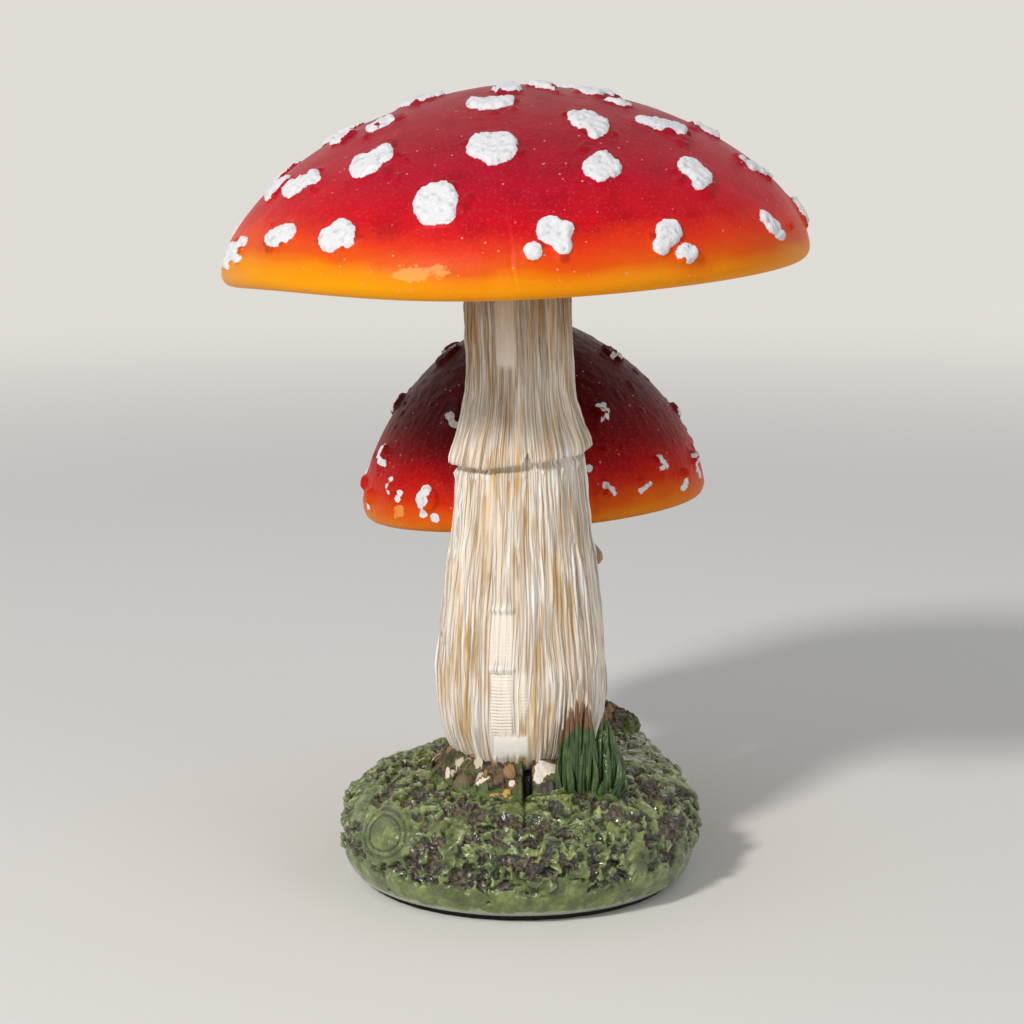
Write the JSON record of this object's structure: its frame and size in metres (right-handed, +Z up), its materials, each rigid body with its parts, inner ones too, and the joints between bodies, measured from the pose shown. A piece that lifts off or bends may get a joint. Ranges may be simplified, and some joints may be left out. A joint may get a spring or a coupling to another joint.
{
  "type": "toadstool garden ornament",
  "caption": "Free-standing resin ornament: a tall and a short red toadstool with white warts, gilled caps and skirted stems, on a mossy mound with grass.",
  "frame": {"origin": "on the ground under the tall stem's foot, in the plane of the foam pad's underside", "axes": "+Z up; -Y towards the front, where the short toadstool stands behind the tall one; +X to the viewer's right"},
  "size_m": [0.1085, 0.139, 0.1516],
  "materials": {
    "foam_pad": "matte closed-cell foam",
    "moss_paint": "cast resin, moss green paint with dark pits, satin to glossy",
    "stem_paint": "cast resin, ivory paint with an ochre wash in the flutes",
    "tall_cap_paint": "cast resin, crimson paint fading to orange at the rim, white warts, satin",
    "short_cap_paint": "cast resin, dark red paint fading to orange at the rim, white warts, satin",
    "steel": "bright steel rod",
    "litter_paint": "cast resin, brown and ochre paint, matte",
    "grass_paint": "cast resin, green paint, glossy"
  },
  "bodies": {
    "root": {"base_pad": "foam_pad", "moss_base": "moss_paint", "tall_stem": "stem_paint", "tall_cap": "tall_cap_paint", "tall_cap_dowel": "steel", "tall_foot_dowel": "steel", "short_stem": "stem_paint", "short_cap": "short_cap_paint", "short_cap_dowel": "steel", "short_foot_dowel": "steel", "tall_litter": "litter_paint", "short_litter": "litter_paint", "left_grass_tuft": "grass_paint", "right_grass_tuft": "grass_paint"}
  },
  "joints": []
}
